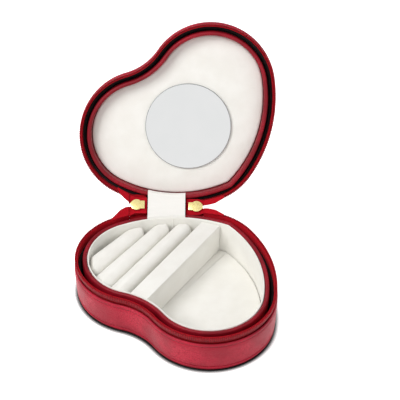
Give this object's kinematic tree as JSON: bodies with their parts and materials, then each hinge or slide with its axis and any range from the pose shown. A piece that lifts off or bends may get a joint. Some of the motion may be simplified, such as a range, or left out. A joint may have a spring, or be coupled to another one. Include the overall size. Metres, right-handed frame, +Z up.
{
  "type": "jewelry case",
  "caption": "Heart-shaped zip-around jewelry case, open, with a mirror in the lid, ring rolls and a divider in the lined base, a cloth strap over the hinge and two zip sliders.",
  "frame": {"origin": "on the underside, midway between the centres of the heart's two lobes", "axes": "+X along the hinge, +Y from the front of the case to the hinge at its back, +Z up"},
  "size_m": [0.116, 0.1708, 0.122],
  "materials": {
    "red_leather": "glossy pebbled grain",
    "red_tape": "woven tape",
    "red_coil": "satin",
    "cream_velvet": "short velvet",
    "grey_board": "matt board",
    "soft_foam": "open foam",
    "mirror_glass": "mirror",
    "pale_gold": "polished pale gold"
  },
  "bodies": {
    "base": {"base_bottom_cover": "red_leather", "base_side_cover": "red_leather", "base_tray": "grey_board", "base_zipper_tape": "red_tape", "base_zipper_coil": "red_coil", "base_collar_board": "grey_board", "base_collar_cover": "red_leather", "base_wall_lining": "cream_velvet", "base_floor_lining": "cream_velvet", "divider_cover": "cream_velvet", "divider_core": "grey_board", "ring_roll_1_cover": "cream_velvet", "ring_roll_1_foam": "soft_foam", "ring_roll_2_cover": "cream_velvet", "ring_roll_2_foam": "soft_foam", "ring_roll_3_cover": "cream_velvet", "ring_roll_3_foam": "soft_foam", "hinge_strap": "cream_velvet", "hinge_spine": "red_leather", "hinge_chain": "red_coil"},
    "lid": {"lid_top_cover": "red_leather", "lid_side_cover": "red_leather", "lid_tray": "grey_board", "lid_zipper_tape": "red_tape", "lid_zipper_coil": "red_coil", "lid_collar_board": "grey_board", "lid_collar_cover": "red_leather", "lid_pad": "soft_foam", "lid_panel_board": "grey_board", "lid_panel_cover": "cream_velvet", "mirror": "mirror_glass"},
    "slider_left": {"slider_left": "pale_gold"},
    "slider_right": {"slider_right": "pale_gold"},
    "pull_left": {"pull_left": "pale_gold"},
    "pull_right": {"pull_right": "pale_gold"}
  },
  "joints": [
    {"name": "lid_hinge", "type": "hinge", "parent": "base", "child": "lid", "pos_m": [0, 0.0569, 0.026], "axis": [1, 0, 0], "range_deg": [0, 118], "deforming": ["hinge_strap", "hinge_spine"]},
    {"name": "slider_left_swing", "type": "hinge", "parent": "base", "child": "slider_left", "pos_m": [0, 0.0569, 0.026], "axis": [1, 0, 0], "range_deg": [0, 59]},
    {"name": "slider_right_swing", "type": "hinge", "parent": "base", "child": "slider_right", "pos_m": [0, 0.0569, 0.026], "axis": [1, 0, 0], "range_deg": [0, 59]},
    {"name": "pull_left_swing", "type": "hinge", "parent": "slider_left", "child": "pull_left", "pos_m": [-0.0225, 0.05637, 0.02688], "axis": [0, 0.8572, 0.515], "range_deg": [-30, 80]},
    {"name": "pull_right_swing", "type": "hinge", "parent": "slider_right", "child": "pull_right", "pos_m": [0.0107, 0.05764, 0.02476], "axis": [0, 0.8572, 0.515], "range_deg": [-80, 30]}
  ],
  "couplings": [
    {"joint": "slider_left_swing", "follows": "lid_hinge", "ratio": 0.5},
    {"joint": "slider_right_swing", "follows": "lid_hinge", "ratio": 0.5}
  ]
}
